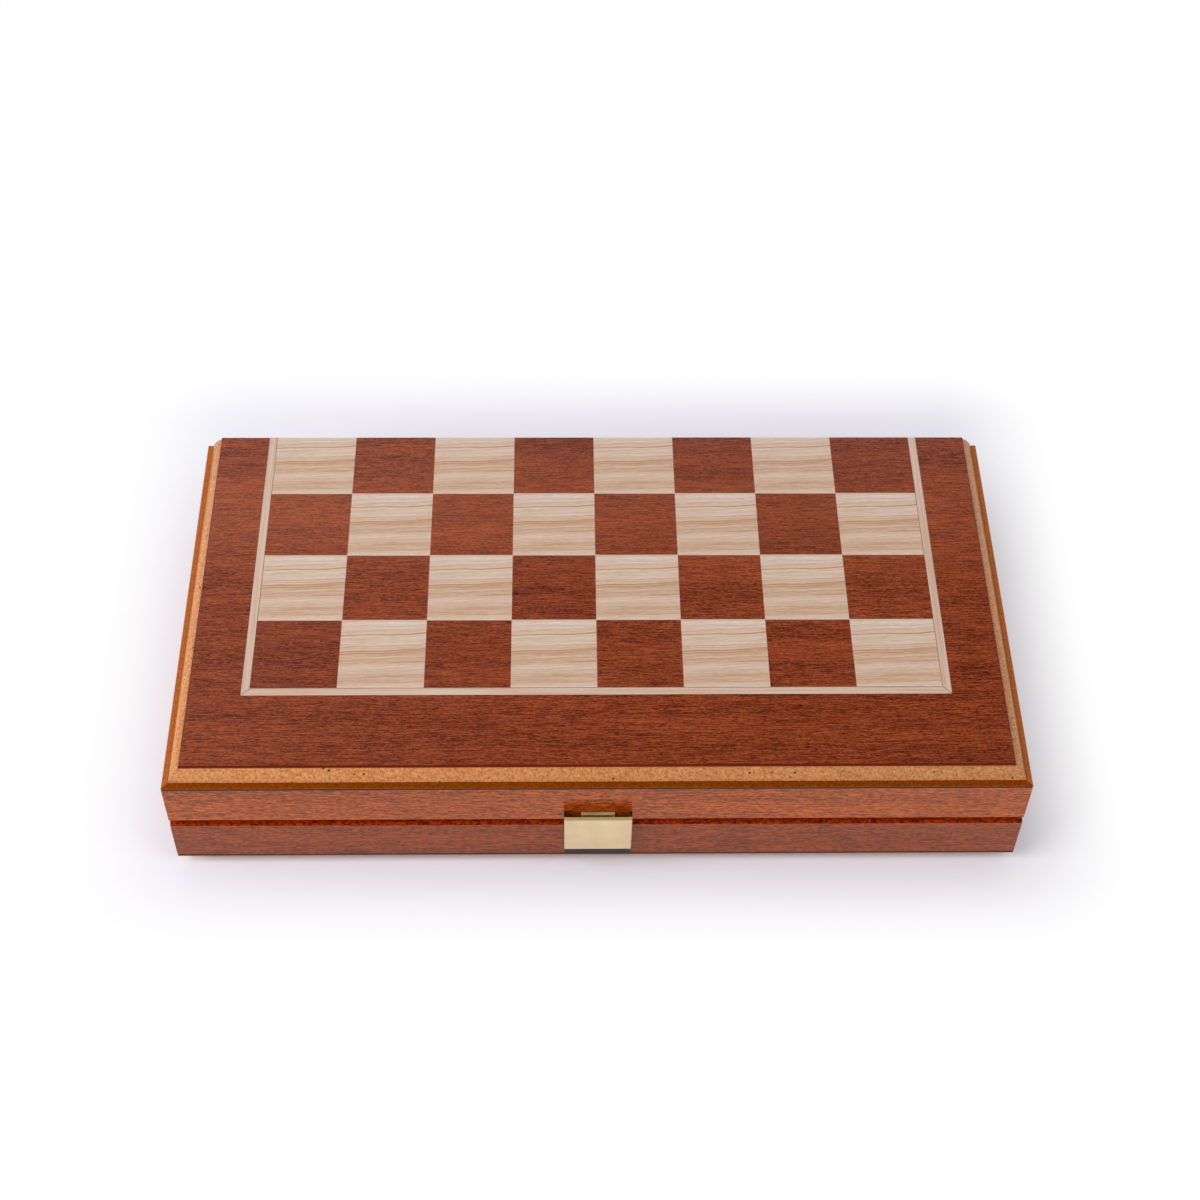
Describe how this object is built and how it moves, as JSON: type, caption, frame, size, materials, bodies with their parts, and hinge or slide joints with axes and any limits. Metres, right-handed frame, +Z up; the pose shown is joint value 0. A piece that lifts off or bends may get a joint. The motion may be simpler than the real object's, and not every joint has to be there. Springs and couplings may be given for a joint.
{
  "type": "folding chess and backgammon case",
  "caption": "Folding wooden game case: a chess board outside, half on each face, backgammon trays inside, hinged at the back, with a brass flap latch.",
  "frame": {"origin": "middle of the underside of the closed case, on the surface it rests on", "axes": "+X along the case to the right, +Y to the hinges at the back, +Z up; the latch faces -Y"},
  "size_m": [0.3818, 0.2109, 0.067],
  "materials": {
    "mahogany": "gloss varnish",
    "mahogany_veneer": "satin varnish",
    "pale_veneer": "satin varnish",
    "pale_trim": "satin varnish",
    "dark_veneer": "satin varnish",
    "mdf": "clear varnish over MDF",
    "brass": "satin",
    "steel": "dull grey"
  },
  "bodies": {
    "base": {"lower_panel": "mdf", "lower_front_rail": "mahogany", "lower_back_rail": "mahogany", "lower_left_rail": "mahogany", "lower_right_rail": "mahogany", "lower_border_veneer": "mahogany_veneer", "lower_front_trim": "pale_trim", "lower_left_trim": "pale_trim", "lower_right_trim": "pale_trim", "lower_dark_squares": "mahogany_veneer", "lower_light_squares": "pale_veneer", "lower_field_veneer": "mahogany_veneer", "lower_light_points": "pale_veneer", "lower_dark_points": "dark_veneer", "left_hinge_lower_leaf": "brass", "right_hinge_lower_leaf": "brass", "left_hinge_pin": "steel", "right_hinge_pin": "steel", "lower_hinge_screws": "brass", "latch_base_plate": "steel", "latch_base_screws": "steel", "latch_pin": "brass"},
    "lid": {"upper_panel": "mdf", "upper_front_rail": "mahogany", "upper_back_rail": "mahogany", "upper_left_rail": "mahogany", "upper_right_rail": "mahogany", "upper_border_veneer": "mahogany_veneer", "upper_front_trim": "pale_trim", "upper_left_trim": "pale_trim", "upper_right_trim": "pale_trim", "upper_dark_squares": "mahogany_veneer", "upper_light_squares": "pale_veneer", "upper_field_veneer": "mahogany_veneer", "upper_light_points": "pale_veneer", "upper_dark_points": "dark_veneer", "left_hinge_upper_leaf": "brass", "right_hinge_upper_leaf": "brass", "upper_hinge_screws": "brass", "latch_strike": "brass", "latch_strike_screws": "brass"},
    "flap": {"latch_flap": "brass"}
  },
  "joints": [
    {"name": "lid_hinge", "type": "hinge", "parent": "base", "child": "lid", "pos_m": [0, 0.102, 0.0335], "axis": [-1, 0, 0], "range_deg": [0, 180]},
    {"name": "flap_pivot", "type": "hinge", "parent": "base", "child": "flap", "pos_m": [0, -0.10405, 0.0164], "axis": [1, 0, 0], "range_deg": [0, 100]}
  ]
}
